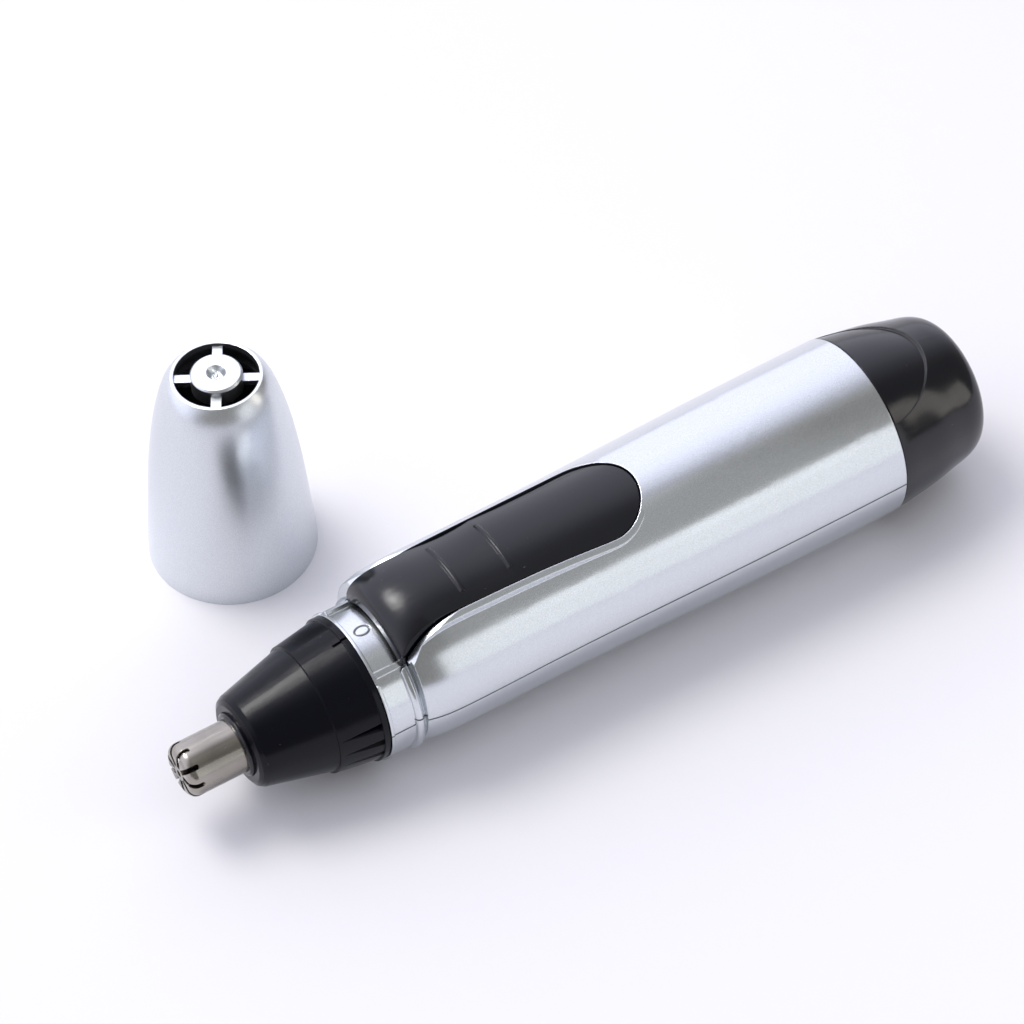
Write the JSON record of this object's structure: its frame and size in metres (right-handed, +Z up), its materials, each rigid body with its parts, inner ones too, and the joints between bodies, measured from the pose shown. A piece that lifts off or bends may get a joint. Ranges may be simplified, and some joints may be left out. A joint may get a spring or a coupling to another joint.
{
  "type": "nose hair trimmer",
  "caption": "Battery nose hair trimmer with a slide switch, turning slotted cutter head, pull-off battery cap and a loose protective cap.",
  "frame": {"origin": "bottom centre of the whole object's box, on the surface that the trimmer lies on", "axes": "+X along the trimmer from its cutter tip to its battery cap, +Y towards the protective cap, +Z up through the switch"},
  "size_m": [0.1304, 0.0675, 0.0362],
  "materials": {
    "silver_lacquer": "satin silver lacquer over moulded plastic",
    "black_plastic": "glossy black moulding",
    "inner_plastic": "plain dark moulding",
    "white_plastic": "natural white acetal",
    "steel": "polished stainless steel",
    "spring_steel": "bright nickel-plated wire",
    "nickel_strip": "nickel-plated strip",
    "cell_case": "plated case",
    "cell_label": "plain shrink label",
    "ferrite": "dark sintered and laminated iron",
    "copper": "enamelled copper",
    "bronze": "sintered bronze and brass",
    "carbon": "pressed carbon"
  },
  "bodies": {
    "trimmer_body": {"upper_shell": "silver_lacquer", "lower_shell": "silver_lacquer", "inner_frame": "inner_plastic", "switch_bed": "inner_plastic", "switch_contact": "nickel_strip", "negative_strip": "nickel_strip", "positive_contact": "nickel_strip", "cell_can": "cell_case", "cell_label": "cell_label", "cell_button": "nickel_strip", "cell_insulator": "white_plastic", "motor_can": "steel", "motor_end_cap": "white_plastic", "motor_magnets": "ferrite", "motor_terminals": "bronze", "motor_brushes": "carbon", "motor_front_bush": "bronze", "motor_rear_bush": "bronze"},
    "switch": {"switch_button": "black_plastic", "button_contact": "nickel_strip"},
    "cutting_head": {"head_cone": "black_plastic", "cutter_tube": "steel", "tube_ring": "black_plastic", "stem_bush": "white_plastic"},
    "blade": {"blade_stem": "white_plastic", "inner_blade": "steel", "blade_spring": "spring_steel"},
    "motor_rotor": {"motor_shaft": "steel", "armature_core": "ferrite", "armature_windings": "copper", "commutator": "copper", "drive_dog": "white_plastic"},
    "tail": {"battery_cap": "black_plastic", "cap_contact": "nickel_strip", "battery_spring": "spring_steel"},
    "cap": {"protective_cap": "silver_lacquer"}
  },
  "joints": [
    {"name": "cap_lift", "type": "slide", "parent": "trimmer_body", "child": "cap", "axis": [0, 0, 1], "range_m": [0, 0.05]},
    {"name": "switch_slide", "type": "slide", "parent": "trimmer_body", "child": "switch", "axis": [-1, 0, 0], "range_m": [0, 0.0032]},
    {"name": "head_turn", "type": "hinge", "parent": "trimmer_body", "child": "cutting_head", "pos_m": [-0.03628, -0.01995, 0.01158], "axis": [1, 0, 0], "range_deg": [0, 36]},
    {"name": "blade_spin", "type": "hinge", "parent": "trimmer_body", "child": "blade", "pos_m": [-0.04778, -0.01995, 0.01158], "axis": [1, 0, 0], "continuous": true},
    {"name": "motor_spin", "type": "hinge", "parent": "trimmer_body", "child": "motor_rotor", "pos_m": [-0.00978, -0.01995, 0.01158], "axis": [1, 0, 0], "continuous": true},
    {"name": "tail_pull", "type": "slide", "parent": "trimmer_body", "child": "tail", "axis": [1, 0, 0], "range_m": [0, 0.014]}
  ],
  "couplings": [
    {"joint": "blade_spin", "follows": "motor_spin", "ratio": 1}
  ]
}
